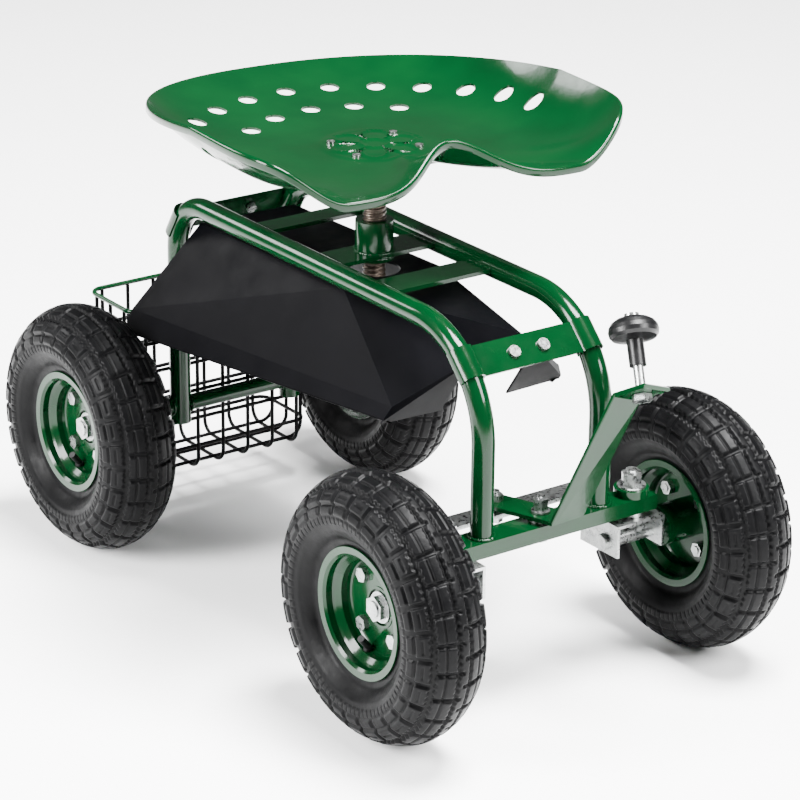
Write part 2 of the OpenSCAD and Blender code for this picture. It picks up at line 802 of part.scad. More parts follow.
module seat_bolts() {
    color(ZINC) at_seat() for (sx = [-1, 1]) for (sy = [-1, 1])
        translate([sx * bracket_bolt_x, sy * bracket_bolt_y, bracket_z + 1])
            bolt(8, 13, bracket_h - 5 - gap, seat_z - bracket_z + 2);
}

// ---- wheels -----------------------------------------------------------------

function track_of(front) = front ? front_track : rear_track;

module at_wheel(side, front) {
    translate([side * track_of(front) / 2, front ? -axle_y : axle_y, axle_z])
        rotate([0, 90 * side, 0]) children();
}

bead_r = rim_d / 2 - 7.7;
section_h = (tyre_d / 2 - bead_r) / 2;
section_r = tyre_d / 2 - section_h;
bead_half = 24;
power = 1.83;
tyre_wall = 6;
arc_n = 30;

// half of the tyre's section, from one bead over the tread to the other, inset by t
function section_point(a, t) = [
    section_r + (section_h - t) * sign(sin(a)) * pow(abs(sin(a)), 2 / power),
    (tyre_w / 2 - t) * sign(cos(a)) * pow(abs(cos(a)), 2 / power)
];
bead_a = 54;
section_out = [for (i = [0:arc_n])
    section_point(-bead_a + (180 + 2 * bead_a) * i / arc_n, 0)];
section_in = [for (i = [arc_n:-1:0])
    section_point(-bead_a + (180 + 2 * bead_a) * i / arc_n, tyre_wall)];

module tyre(side, front) {
    color(BLACK) at_wheel(side, front) rotate_extrude($fn = 128)
        polygon(concat(section_out, section_in));
}

valve_a = 14;
valve_turn = 165;

// the inner tube with its valve stem, which comes out through the rim
module inner_tube(side, front) {
    color(BLACK) at_wheel(side, front) {
        rotate_extrude($fn = 128) translate([section_r + 1, 0]) difference() {
            circle(r = section_h - tyre_wall - 4);
            circle(r = section_h - tyre_wall - 5.5);
        }
        rotate([0, 0, valve_turn]) {
            translate([section_r - section_h + 14, 0, 7]) rotate([0, -90, 0])
                cylinder(d = 8, h = 26);
            translate([section_r - section_h - 12, 0, 7]) rotate([0, -50, 0])
                cylinder(d = 7, h = 16);
        }
    }
}

rim_t = 1.8;
disc_r = 45;
seat_r = 56;

// one pressed half of the rim: radius, then distance out from the centre plane
rim_half = [
    [hub_d / 2 + gap, 0], [disc_r, 0], [disc_r + 3, 1.2], [disc_r + 4.5, 5], [disc_r + 4.5, 11],
    [seat_r - 2, 15], [seat_r, 17], [seat_r, 23], [seat_r + 1.5, 25], [rim_d / 2 - 1, 25.4],
    [rim_d / 2, 26.4], [rim_d / 2 - 0.6, 27.6], [rim_d / 2 - 3, 27.4], [seat_r + 0.6, 27],
    [seat_r - 1.8, 24.6], [seat_r - 1.8, 18], [seat_r - 4, 16.2], [disc_r + 2.7, 12],
    [disc_r + 2.7, 5.6], [disc_r + 1.6, 2.9], [disc_r, 1.8], [hub_d / 2 + gap, 1.8]
];
rim_bolt_r = 34.5;
rim_bolt_d = 8;

module rim_pair() {
    rotate_extrude($fn = 96) polygon(rim_half);
    mirror([0, 0, 1]) translate([0, 0, gap]) rotate_extrude($fn = 96) polygon(rim_half);
}

module rim(side, front) {
    color(GREEN) at_wheel(side, front) difference() {
        rim_pair();
        for (k = [0:3]) rotate([0, 0, 45 + 90 * k]) translate([rim_bolt_r, 0, -5])
            cylinder(d = rim_bolt_d + 2 * gap, h = 10);
        rotate([0, 0, valve_turn]) translate([seat_r + 4, 0, 7]) rotate([0, -90, 0])
            cylinder(d = 9, h = 22);
    }
}

bearing_od = 35;
bearing_w = 11;

// the hub barrel and the outer rings of its two bearings, which turn with it
module hub(side, front) {
    color(GREEN) at_wheel(side, front) difference() {
        translate([0, 0, -hub_in]) cylinder(d = hub_d, h = hub_in + hub_out);
        translate([0, 0, -hub_in - 1]) cylinder(d = bearing_od, h = bearing_w + 1);
        translate([0, 0, -bearing_w]) cylinder(d = bearing_od, h = bearing_w + hub_out + 1);
        translate([0, 0, -hub_in - 1]) cylinder(d = 24, h = hub_in + hub_out + 2);
    }
    color(ZINC) at_wheel(side, front) for (z = [-hub_in, -bearing_w])
        translate([0, 0, z + gap])
            pipe(bearing_od - 2 * gap, axle_d + 2 * run, bearing_w - 2 * gap);
}

module rim_bolts(side, front) {
    color(ZINC) at_wheel(side, front) for (k = [0:3])
        rotate([0, 0, 45 + 90 * k]) translate([rim_bolt_r, 0, 0]) {
            translate([0, 0, rim_t + gap]) hex(13, 5.3);
            translate([0, 0, -9]) cylinder(d = rim_bolt_d, h = 9 + rim_t + 2);
            translate([0, 0, -rim_t - 2 * gap - 6]) hex(13, 6);
        }
}

// ---- the nodes --------------------------------------------------------------

rail(LEFT);  // rail_left
rail(RIGHT);  // rail_right
front_crossbar();
kingpin_bosses();
rear_axle_tube();
rear_axle_rod();
rear_axle_hardware();
seat_cross_plate();
front_cross_flat();
rear_cross_flat();
seat_collar();
front_strap();
rear_strap();
strap_screws();
tray();
basket_rim();
basket_floor();
basket_front();
basket_rear();
basket_end(LEFT);  // basket_end_left
basket_end(RIGHT);  // basket_end_right
basket_brackets();
kingpin_bolts();
kingpin_nuts();
steering_pivot_bolt();
steering_lever();
lever_tie_bolt();
knob_stem();
knob();
tie_rod();
knuckle(LEFT);  // knuckle_left
knuckle(RIGHT);  // knuckle_right
knuckle_bolt(LEFT);  // knuckle_bolt_left
knuckle_bolt(RIGHT);  // knuckle_bolt_right
stub_axle(LEFT);  // stub_axle_left
stub_axle(RIGHT);  // stub_axle_right
seat_screw();
seat_bracket();
seat_pan();
seat_bolts();
tyre(LEFT, true);  // tyre_front_left
tyre(RIGHT, true);  // tyre_front_right
tyre(LEFT, false);  // tyre_rear_left
tyre(RIGHT, false);  // tyre_rear_right
inner_tube(LEFT, true);  // tube_front_left
inner_tube(RIGHT, true);  // tube_front_right
inner_tube(LEFT, false);  // tube_rear_left
inner_tube(RIGHT, false);  // tube_rear_right
rim(LEFT, true);  // rim_front_left
rim(RIGHT, true);  // rim_front_right
rim(LEFT, false);  // rim_rear_left
rim(RIGHT, false);  // rim_rear_right
hub(LEFT, true);  // hub_front_left
hub(RIGHT, true);  // hub_front_right
hub(LEFT, false);  // hub_rear_left
hub(RIGHT, false);  // hub_rear_right
rim_bolts(LEFT, true);  // rim_bolts_front_left
rim_bolts(RIGHT, true);  // rim_bolts_front_right
rim_bolts(LEFT, false);  // rim_bolts_rear_left
rim_bolts(RIGHT, false);  // rim_bolts_rear_right
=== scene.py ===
"""Garden cart: materials, tyres, seat pan, tray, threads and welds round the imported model."""
import json
import math

import bpy
import numpy as np
from mathutils import Matrix, Vector


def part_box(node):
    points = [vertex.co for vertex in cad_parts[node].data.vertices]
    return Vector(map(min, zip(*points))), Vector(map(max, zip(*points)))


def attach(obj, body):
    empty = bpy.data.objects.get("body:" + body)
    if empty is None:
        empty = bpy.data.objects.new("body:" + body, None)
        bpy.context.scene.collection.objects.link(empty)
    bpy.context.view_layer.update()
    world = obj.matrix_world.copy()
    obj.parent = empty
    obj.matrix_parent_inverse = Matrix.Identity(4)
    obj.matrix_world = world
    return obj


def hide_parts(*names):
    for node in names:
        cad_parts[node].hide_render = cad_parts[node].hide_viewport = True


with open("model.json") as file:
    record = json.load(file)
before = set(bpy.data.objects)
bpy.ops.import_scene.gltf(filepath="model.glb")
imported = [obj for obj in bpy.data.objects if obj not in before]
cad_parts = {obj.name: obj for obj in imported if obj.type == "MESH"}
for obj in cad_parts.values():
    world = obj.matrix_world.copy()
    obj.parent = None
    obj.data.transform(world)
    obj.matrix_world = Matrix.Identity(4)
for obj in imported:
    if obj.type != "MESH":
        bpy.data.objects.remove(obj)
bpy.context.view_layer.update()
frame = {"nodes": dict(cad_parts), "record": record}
NODES = frame["nodes"]
MM = 0.001
RNG = np.random.default_rng(7)

# metres, in the frame's axes: +Z up, -Y towards the steered wheels
WHEELS = ("front_left", "front_right", "rear_left", "rear_right")
AXLE_Z = 0.130
AXLE_Y = 0.265
RAIL_X = 0.069
TUBE_R = 0.011

# fitted to the photo, together with the plan of the cart
CAMERA_PLACE = (-1.7168, -2.4219, 1.3766)
CAMERA_AZIMUTH, CAMERA_ELEVATION, CAMERA_ROLL = -35.754, 21.512, 0.6
CAMERA_LENS = 143.93


# ---- camera and light -----------------------------------------------------------

def direction(azimuth, elevation):
    """Unit vector from the object towards a viewer at that azimuth and elevation."""
    a, e = math.radians(azimuth), math.radians(elevation)
    return Vector((math.sin(a) * math.cos(e), -math.cos(a) * math.cos(e), math.sin(e)))


def add_camera():
    """The photo's camera."""
    data = bpy.data.cameras.new("camera")
    data.sensor_width = 36.0
    data.lens = CAMERA_LENS
    data.clip_end = 50.0
    cam = bpy.data.objects.new("camera", data)
    bpy.context.scene.collection.objects.link(cam)
    back = direction(CAMERA_AZIMUTH, CAMERA_ELEVATION)
    a = math.radians(CAMERA_AZIMUTH)
    right = Vector((math.cos(a), math.sin(a), 0))
    up = back.cross(right)
    r = math.radians(CAMERA_ROLL)
    right, up = right * math.cos(r) + up * math.sin(r), up * math.cos(r) - right * math.sin(r)
    axes = Matrix((right, up, back)).transposed().to_4x4()
    cam.matrix_world = Matrix.Translation(CAMERA_PLACE) @ axes
    bpy.context.scene.camera = cam


def area_light(name, azimuth, elevation, distance, size, power, aim=(0, 0, 0.25)):
    """A square lamp of the given size and watts, turned towards aim."""
    data = bpy.data.lights.new(name, "AREA")
    data.shape = "RECTANGLE"
    data.size, data.size_y = size
    data.energy = power
    lamp = bpy.data.objects.new(name, data)
    bpy.context.scene.collection.objects.link(lamp)
    toward = direction(azimuth, elevation)
    lamp.location = Vector(aim) + toward * distance
    lamp.rotation_euler = toward.to_track_quat("Z", "Y").to_euler()


def add_light():
    """Soft studio light: the key from the left, a fill in front and a panel overhead."""
    area_light("key", -96, 24, 2.8, (0.9, 1.6), 330)
    area_light("fill", 20, 35, 3.2, (0.9, 1.6), 260)
    area_light("top", 40, 76, 3.4, (1.5, 1.5), 1050)
    area_light("back", -150, 28, 3.0, (0.8, 0.8), 60)
    world = bpy.data.worlds.new("world")
    world.use_nodes = True
    world.node_tree.nodes["Background"].inputs["Color"].default_value = (1, 1, 1, 1)
    world.node_tree.nodes["Background"].inputs["Strength"].default_value = 0.16
    bpy.context.scene.world = world


# ---- materials ------------------------------------------------------------

class Paint:
    """A node material being built: a Principled shader fed by object-space textures."""

    def __init__(self, name, rough=0.5, metal=0.0, **sockets):
        self.mat = bpy.data.materials.new(name)
        self.mat.use_nodes = True
        self.tree = self.mat.node_tree
        self.shader = self.tree.nodes["Principled BSDF"]
        self.shader.inputs["Roughness"].default_value = rough
        self.shader.inputs["Metallic"].default_value = metal
        for key, value in sockets.items():
            self.shader.inputs[key.replace("_", " ")].default_value = value
        self.where = self.tree.nodes.new("ShaderNodeTexCoord").outputs["Object"]

    def link(self, a, b):
        self.tree.links.new(a, b)

    def noise(self, scale, detail=4.0, rough=0.55, distort=0.0, stretch=None):
        node = self.tree.nodes.new("ShaderNodeTexNoise")
        node.inputs["Scale"].default_value = scale
        node.inputs["Detail"].default_value = detail
        node.inputs["Roughness"].default_value = rough
        node.inputs["Distortion"].default_value = distort
        source = self.where
        if stretch:
            mapping = self.tree.nodes.new("ShaderNodeMapping")
            mapping.inputs["Scale"].default_value = stretch
            self.link(self.where, mapping.inputs["Vector"])
            source = mapping.outputs["Vector"]
        self.link(source, node.inputs["Vector"])
        return node.outputs["Fac"]

    def cells(self, scale):
        node = self.tree.nodes.new("ShaderNodeTexVoronoi")
        node.inputs["Scale"].default_value = scale
        self.link(self.where, node.inputs["Vector"])
        return node.outputs["Distance"]

    def span(self, value, low, high, start=0.0, end=1.0):
        """Value, from start to end, spread over low to high."""
        node = self.tree.nodes.new("ShaderNodeMapRange")
        node.inputs["From Min"].default_value = start
        node.inputs["From Max"].default_value = end
        node.inputs["To Min"].default_value = low
        node.inputs["To Max"].default_value = high
        self.link(value, node.inputs["Value"])
        return node.outputs["Result"]

    def ramp(self, value, *stops):
        """Colour of value; each stop is (position, rgb)."""
        node = self.tree.nodes.new("ShaderNodeValToRGB")
        ramp = node.color_ramp
        while len(ramp.elements) < len(stops):
            ramp.elements.new(0.5)
        for element, (at, color) in zip(ramp.elements, stops):
            element.position = at
            element.color = (*color, 1)
        self.link(value, node.inputs["Fac"])
        return node.outputs["Color"]

    def color(self, value):
        self.link(value, self.shader.inputs["Base Color"])
        return self

    def rough(self, value, low, high, start=0.3, end=0.7):
        self.link(self.span(value, low, high, start, end), self.shader.inputs["Roughness"])
        return self

    def bump(self, *layers):
        """Each layer is (height output, depth in metres)."""
        normal = None
        for height, depth in layers:
            node = self.tree.nodes.new("ShaderNodeBump")
            node.inputs["Distance"].default_value = depth
            node.inputs["Strength"].default_value = 1.0
            self.link(height, node.inputs["Height"])
            if normal:
                self.link(normal, node.inputs["Normal"])
            normal = node.outputs["Normal"]
        self.link(normal, self.shader.inputs["Normal"])
        return self.mat


def green_paint():
    p = Paint("green_paint", rough=0.2, Coat_Weight=0.1, Coat_Roughness=0.03,
              Specular_IOR_Level=0.16)
    broad = p.noise(9, detail=3)
    p.color(p.ramp(broad, (0.3, (0.0002, 0.0130, 0.0030)), (0.7, (0.0003, 0.0190, 0.0044))))
    fine = p.noise(420, detail=2)
    p.rough(p.noise(60, detail=6), 0.12, 0.2)
    return p.bump((fine, 0.00004), (p.noise(70, detail=2), 0.00012))


def zinc_plate():
    p = Paint("zinc_plate", rough=0.3, metal=1.0)
    cloud = p.noise(120, detail=6, rough=0.65)
    p.color(p.ramp(cloud, (0.25, (0.24, 0.25, 0.25)), (0.75, (0.46, 0.47, 0.46))))
    p.rough(p.noise(260, detail=5), 0.2, 0.42)
    return p.bump((p.noise(900, detail=3, stretch=(1, 6, 6)), 0.00002), (cloud, 0.00005))


def black_wire():
    p = Paint("black_wire", rough=0.4, Specular_IOR_Level=0.05)
    p.color(p.ramp(p.noise(150), (0.3, (0.001, 0.001, 0.0012)), (0.7, (0.003, 0.003, 0.0033))))
    p.rough(p.noise(240), 0.28, 0.45)
    return p.bump((p.noise(600), 0.00005))


def black_sheet():
    p = Paint("black_sheet", rough=0.42, Specular_IOR_Level=0.03)
    cloud = p.noise(7, detail=4, distort=0.4)
    p.color(p.ramp(cloud, (0.3, (0.0006, 0.0006, 0.0009)), (0.7, (0.0011, 0.0011, 0.0016))))
    p.rough(p.noise(30, detail=6), 0.38, 0.5)
    return p.bump((p.noise(1500, detail=2), 0.00003), (p.noise(12, detail=2), 0.0004))


def tyre_rubber():
    p = Paint("tyre_rubber", rough=0.4, Specular_IOR_Level=0.055)
    dust = p.noise(40, detail=7, rough=0.65)
    p.color(p.ramp(dust, (0.25, (0.0009, 0.0009, 0.0010)), (0.6, (0.0018, 0.0018, 0.0020)),
                   (0.85, (0.0045, 0.0044, 0.0046))))
    p.rough(p.noise(110, detail=5), 0.32, 0.5)
    return p.bump((p.noise(1800, detail=3), 0.00006), (p.noise(180, detail=4), 0.00025))


def black_rubber():
    p = Paint("black_rubber", rough=0.5, Specular_IOR_Level=0.3)
    p.color(p.ramp(p.noise(90), (0.3, (0.001, 0.001, 0.001)), (0.7, (0.003, 0.0028, 0.0028))))
    p.rough(p.noise(200), 0.4, 0.6)
    return p.bump((p.noise(1200), 0.00004))


def black_plastic():
    p = Paint("black_plastic", rough=0.34, Specular_IOR_Level=0.25)
    p.color(p.ramp(p.noise(60), (0.3, (0.001, 0.001, 0.0012)), (0.7, (0.003, 0.003, 0.0033))))
    p.rough(p.noise(300), 0.28, 0.42)
    return p.bump((p.cells(1400), 0.00004), (p.noise(40), 0.0001))


def dark_screw():
    p = Paint("dark_screw", rough=0.38, metal=1.0)
    cloud = p.noise(160, detail=6, rough=0.7)
    p.color(p.ramp(cloud, (0.25, (0.03, 0.022, 0.018)), (0.55, (0.08, 0.062, 0.05)),
                   (0.8, (0.17, 0.145, 0.12))))
    p.rough(p.noise(220), 0.3, 0.55)
    return p.bump((p.noise(700), 0.00008))


def floor_paint():
    p = Paint("floor", rough=0.7)
    p.color(p.ramp(p.noise(3), (0.3, (0.94, 0.94, 0.94)), (0.7, (0.96, 0.96, 0.96))))
    return p.mat


MATERIALS = {
    "green_paint": green_paint(),
    "zinc": zinc_plate(),
    "black_wire": black_wire(),
    "black_sheet": black_sheet(),
    "black_plastic": black_plastic(),
    "dark_screw": dark_screw(),
    "tyre_rubber": tyre_rubber(),
    "black_rubber": black_rubber(),
}

# width in mm of the rounding on the edges of the sheet and bar parts
SOFT_EDGES = {"tray": 0.5, "steering_lever": 0.6, "front_crossbar": 0.8, "front_strap": 0.4,
              "rear_strap": 0.4, "front_cross_flat": 0.6, "rear_cross_flat": 0.6,
              "seat_cross_plate": 0.6, "knuckle_left": 0.5, "knuckle_right": 0.5,
              "tie_rod": 0.4, "seat_bracket": 0.5}


def dress_nodes():
    """Every CAD node takes the material of its own slot."""
    slots = {s["node"]: s["material_slot"] for s in frame["record"]["subparts"]}
    for name, obj in NODES.items():
        obj.data.materials.clear()
        obj.data.materials.append(MATERIALS[slots[name]])
        if name in SOFT_EDGES:
            bevel = obj.modifiers.new("soft edges", "BEVEL")
            bevel.width = SOFT_EDGES[name] * MM
            bevel.segments = 2
            bevel.limit_method = "ANGLE"
            bevel.angle_limit = math.radians(35)
            bevel.harden_normals = False


# ---- mesh helpers -----------------------------------------------------------

def mesh_of(name, verts, faces):
    mesh = bpy.data.meshes.new(name)
    mesh.from_pydata([tuple(v) for v in verts], [], [tuple(int(i) for i in f) for f in faces])
    mesh.validate()
    return mesh


def piece(name, verts, faces, slot, body, smooth=True):
    mesh = mesh_of(name, verts, faces)
    mesh.polygons.foreach_set("use_smooth", [smooth] * len(mesh.polygons))
    place(name, mesh, slot, body)


def place(name, mesh, slot, body, replaces=(), matrix=None):
    """Puts a mesh in the scene as a piece that rides on a body."""
    obj = bpy.data.objects.new(name, mesh)
    bpy.context.scene.collection.objects.link(obj)
    if matrix is not None:
        obj.matrix_world = matrix
    if not mesh.materials:
        mesh.materials.append(MATERIALS[slot])
    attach(obj, body)
    if replaces:
        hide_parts(*replaces)


def smooth_by_angle(mesh, degrees):
    mesh.polygons.foreach_set("use_smooth", [True] * len(mesh.polygons))
    mesh.set_sharp_from_angle(angle=math.radians(degrees))


def grid_faces(rows, cols, wrap_rows=False, wrap_cols=False, flip=False):
    """Quads of a grid whose vertex (row, col) has the index row * cols + col."""
    r = np.arange(rows if wrap_rows else rows - 1)
    c = np.arange(cols if wrap_cols else cols - 1)
    rr, cc = np.meshgrid(r, c, indexing="ij")
    r1, c1 = (rr + 1) % rows, (cc + 1) % cols
    quads = np.stack([rr * cols + cc, rr * cols + c1, r1 * cols + c1, r1 * cols + cc], -1)
    quads = quads.reshape(-1, 4)
    return quads[:, ::-1] if flip else quads


def smoothstep(low, high, x):
    t = np.clip((x - low) / (high - low), 0, 1)
    return t * t * (3 - 2 * t)


def wheel_matrix(which):
    """Places a wheel modelled about +X, its outer side towards +X, at its axle."""
    front = which.startswith("front")
    low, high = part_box("tyre_" + which)
    center = (Vector(low) + Vector(high)) / 2
    turn = 0 if which.endswith("left") else math.pi
    y = -AXLE_Y if front else AXLE_Y
    return Matrix.Translation((center.x, y, AXLE_Z)) @ Matrix.Rotation(turn, 4, "Z")


# ---- tyres --------------------------------------------------------------------

TYRE_R = 0.130
BEAD_R = 0.056
SECTION_H = (TYRE_R - BEAD_R) / 2
SECTION_R = TYRE_R - SECTION_H
TYRE_HALF = 0.0415
TREAD_DEPTH = 0.0032
SIDE_DEPTH = 0.0012       # room for the shallow blocks on the sidewall
WALL = 0.008
PITCHES = 28              # repeats of the tread round the tyre
PITCH_COLS = 26           # mesh columns in each repeat
BEAD_FROM, BEAD_TO = -76, 256
RIM_EDGE_R, RIM_EDGE_X = 0.061, 0.0244
LIP_SLOPE = 0.35          # how the sidewall leans out over the rim's edge
LIP_TOP_R = 0.072


def tyre_section():
    """Arc length, radius and width of the tyre's outer section, from bead over tread to bead."""
    a = np.radians(np.linspace(BEAD_FROM, BEAD_TO, 2400))
    power = 2 / 1.83
    depth = SECTION_H - TREAD_DEPTH
    radius = SECTION_R + depth * np.sign(np.sin(a)) * np.abs(np.sin(a)) ** power
    width = (TYRE_HALF - SIDE_DEPTH) * np.sign(np.cos(a)) * np.abs(np.cos(a)) ** power
    seat = RIM_EDGE_X + LIP_SLOPE * (radius - RIM_EDGE_R)
    at_bead = (radius < LIP_TOP_R) & (np.abs(width) < seat)
    width = np.where(at_bead, np.sign(width) * seat, width)
    arc = np.concatenate([[0], np.cumsum(np.hypot(np.diff(radius), np.diff(width)))])
    arc -= np.interp(0, -width, arc)
    return arc, radius, width


def tread_height(theta, s):
    """Height of the tread above the carcass at angle theta and distance s from the centre line.

    The numbers are in mm: where each row of blocks starts and ends, and half the gap
    between its blocks. The two sides are half a pitch apart.
    """
    pitch = 2 * math.pi * TYRE_R / PITCHES
    side = np.where(s < 0, 0.5, 0.0)
    u = theta * PITCHES / (2 * math.pi) + side
    d = np.abs(s) / MM
    f = u - np.floor(u)
    g = u + 0.5 - np.floor(u + 0.5)
    saw = 1.6 * (np.abs(((u * 4) % 1) - 0.5) * 2 - 0.5)
    edge = 0.5
    mm = pitch / MM

    def bar(lo, hi, frac, cut):
        along = np.minimum(frac, 1 - frac) * mm
        across = smoothstep(lo - edge, lo + edge, d) * (1 - smoothstep(hi - edge, hi + edge, d))
        return across * smoothstep(cut - edge, cut + edge, along)

    deep = 3.1
    centre = bar(-9, 4.4 + 0.6 * saw, f, 1.6)
    inner = bar(7.2 + 0.6 * saw, 16.5, f, 2.2)
    middle = bar(17.7, 25.5 + saw, f, 2.2)
    shoulder = bar(30.5 + saw, 44, g, 3.0)
    sipe = 1 - 0.55 * bar(36.6, 37.6, g, 7.0)
    lug = bar(46.5, 54, g, 4.2)
    ribs = bar(57, 63.5, (u * 3) % 1, 0.9 * 3)
    height = deep * (centre + inner + middle) + 3.2 * shoulder * sipe + 1.9 * lug
    height = height + 0.8 * ribs
    height += 0.5 * bar(69, 70.0, np.full_like(u, 0.5), 0.1)
    return height * MM


def tyre_mesh():
    """A closed shell: the treaded outside and a plain inside, as one grid round the axle."""
    arc, radius, width = tyre_section()
    reach = 0.067         # the fine rows of the mesh cover the blocks this far from the middle
    tread = np.arange(-reach, reach + 1e-9, 0.0011)
    side_low = np.linspace(arc[0], -reach, 14)[:-1]
    side_high = np.linspace(reach, arc[-1], 14)[1:]
    s = np.concatenate([side_low, tread, side_high])
    r = np.interp(s, arc, radius)
    w = np.interp(s, arc, width)
    dr, dw = np.gradient(r), np.gradient(w)
    length = np.hypot(dr, dw)
    nr, nw = -dw / length, dr / length
    if nr[len(s) // 2] < 0:
        nr, nw = -nr, -nw
    cols = PITCHES * PITCH_COLS
    theta = np.arange(cols) * 2 * math.pi / cols
    tt, ss = np.meshgrid(theta, s)
    h = tread_height(tt, ss)
    rr = r[:, None] + nr[:, None] * h
    ww = w[:, None] + nw[:, None] * h
    outer = np.stack([ww, rr * np.cos(tt), rr * np.sin(tt)], -1).reshape(-1, 3)
    rows = len(s)
    inner_rows = 9
    a = np.radians(np.linspace(BEAD_TO, BEAD_FROM, inner_rows))
    inner_r = SECTION_R + (SECTION_H - WALL) * np.sin(a)
    inner_w = (TYRE_HALF - WALL) * np.cos(a)
    ri, ti = np.meshgrid(inner_r, theta, indexing="ij")
    wi = np.repeat(inner_w[:, None], cols, 1)
    inner = np.stack([wi, ri * np.cos(ti), ri * np.sin(ti)], -1).reshape(-1, 3)
    verts = np.concatenate([outer, inner])
    faces = grid_faces(rows + inner_rows, cols, wrap_rows=True, wrap_cols=True)
    mesh = bpy.data.meshes.new("tyre")
    mesh.from_pydata(verts.tolist(), [], faces.tolist())
    mesh.polygons.foreach_set("use_smooth", [True] * len(mesh.polygons))
    mesh.materials.append(MATERIALS["tyre_rubber"])
    return mesh


def add_tyres():
    mesh = tyre_mesh()
    for which in WHEELS:
        place("tyre_tread_" + which, mesh, "tyre_rubber", "wheel_" + which,
              ["tyre_" + which], wheel_matrix(which))


# ---- seat pan -----------------------------------------------------------------

# This section is in mm and degrees. SEAT repeats the CAD's values.
SEAT = dict(half=204, back=255, front=160, shift=-12, z=469, turn=-5, axis_y=8.5,
            rim_back=489, rim_side=521, lobe=479, notch=37, notch_up=32, notch_w=49, lobe_x=125,
            back_power=2.3, front_power=5.2, rise_back=2.8, rise_side=7.7)
SHEET = 2.4
RIM_ROLL = 3.0
RIM_DEPTH = 9.0
HOLE_R = 9.5
HOLE_ARCS = ((13, 180, 15.2), (5, 128, 20.6))     # count, radius of the arc, degrees apart
BOLT_X, BOLT_Y = 35, 25
BOLT_HOLE_R = 4.2
FLOWER_HOLE_R = 3.5
FLOWER_HOLE_RING = 30


def seat_matrix():
    return Matrix.Translation((0, SEAT["axis_y"] * MM, 0)) @ Matrix.Rotation(
        math.radians(SEAT["turn"]), 4, "Z")


def seat_rim(a):
    """Plan position and height, in mm, of the pan's rim at angle a from its back."""
    c, s = np.cos(a), np.sin(a)

    def radius(depth, power):
        return (np.abs(s / SEAT["half"]) ** power + np.abs(c / depth) ** power) ** (-1 / power)

    behind = c >= 0
    r = np.where(behind, radius(SEAT["back"], SEAT["back_power"]),
                 radius(SEAT["front"], SEAT["front_power"]))
    x = r * s
    notch = np.exp(-(x / SEAT["notch_w"]) ** 2)
    y = r * c + SEAT["shift"] + np.where(behind, 0, SEAT["notch"] * notch)
    side = smoothstep(SEAT["lobe_x"], SEAT["half"], np.abs(x))
    front_z = SEAT["lobe"] + SEAT["notch_up"] * notch + (SEAT["rim_side"] - SEAT["lobe"]) * side
    back_z = SEAT["rim_side"] + (SEAT["rim_back"] - SEAT["rim_side"]) * r * c / SEAT["back"]
    return x, y, np.where(behind, back_z, front_z)


def rosette(x, y):
    """Raised flower in the middle of the pan, in mm."""
    r = np.hypot(x, y)
    phi = np.arctan2(y, x)
    petal = 17 + 28 * np.abs(np.cos(3 * phi)) ** 0.6
    ridge = np.exp(-((r - petal) / 2.6) ** 2)
    ring = np.exp(-((r - 14) / 2.4) ** 2)
    outer = np.exp(-((r - 50) / 3.0) ** 2)
    dome = 1.6 * (1 - smoothstep(30, 54, r))
    return 1.9 * ridge + 1.7 * ring + 0.8 * outer + dome


def seat_mesh():
    """Vertices and faces of the pan: top, rolled rim and underside, then the two middles."""
    cols = 360
    a = np.arange(cols) * 2 * math.pi / cols
    x, y, z = seat_rim(a)
    power = SEAT["rise_back"] + (SEAT["rise_side"] - SEAT["rise_back"]) * np.sin(a) ** 2
    t = np.concatenate([np.linspace(0.02, 0.72, 56), np.linspace(0.73, 1.0, 40)])[:, None]
    top_x, top_y = x * t, y * t
    top_z = SEAT["z"] + (z - SEAT["z"]) * t ** power + rosette(top_x, top_y)
    # outward direction of the rim in plan
    dx = np.roll(x, -1) - np.roll(x, 1)
    dy = np.roll(y, -1) - np.roll(y, 1)
    length = np.hypot(dx, dy)
    nx, ny = -dy / length, dx / length
    sign = np.sign((nx * x + ny * y).sum())
    nx, ny = nx * sign, ny * sign
    # the lip's section: distance out from the rim, and down
    lip = []
    for angle in (65, 40, 15, -10):
        out = RIM_ROLL * math.cos(math.radians(angle))
        lip.append((out, RIM_ROLL * (math.sin(math.radians(angle)) - 1)))
    lip += [(RIM_ROLL, 1 - RIM_DEPTH), (RIM_ROLL - 0.7, -RIM_DEPTH),
            (RIM_ROLL - SHEET, 0.4 - RIM_DEPTH), (RIM_ROLL - SHEET, -RIM_DEPTH / 2)]
    lip_x = np.array([x + nx * o for o, _ in lip])
    lip_y = np.array([y + ny * o for o, _ in lip])
    lip_z = np.array([z + d for _, d in lip])
    low_x, low_y = top_x[::-1][2:], top_y[::-1][2:]
    low_z = top_z[::-1][2:] - SHEET
    grid = [np.concatenate(part) for part in
            ((top_x, lip_x, low_x), (top_y, lip_y, low_y), (top_z, lip_z, low_z))]
    rows = grid[0].shape[0]
    verts = np.stack(grid, -1).reshape(-1, 3) * MM
    middle = SEAT["z"] + rosette(0.0, 0.0)
    verts = np.concatenate([verts, [[0, 0, middle * MM], [0, 0, (middle - SHEET) * MM]]])
    faces = [list(f) for f in grid_faces(rows, cols, wrap_cols=True, flip=True)]
    n = rows * cols
    for i in range(cols):
        j = (i + 1) % cols
        faces.append([n, i, j])
        faces.append([n + 1, (rows - 1) * cols + j, (rows - 1) * cols + i])
    return verts, faces


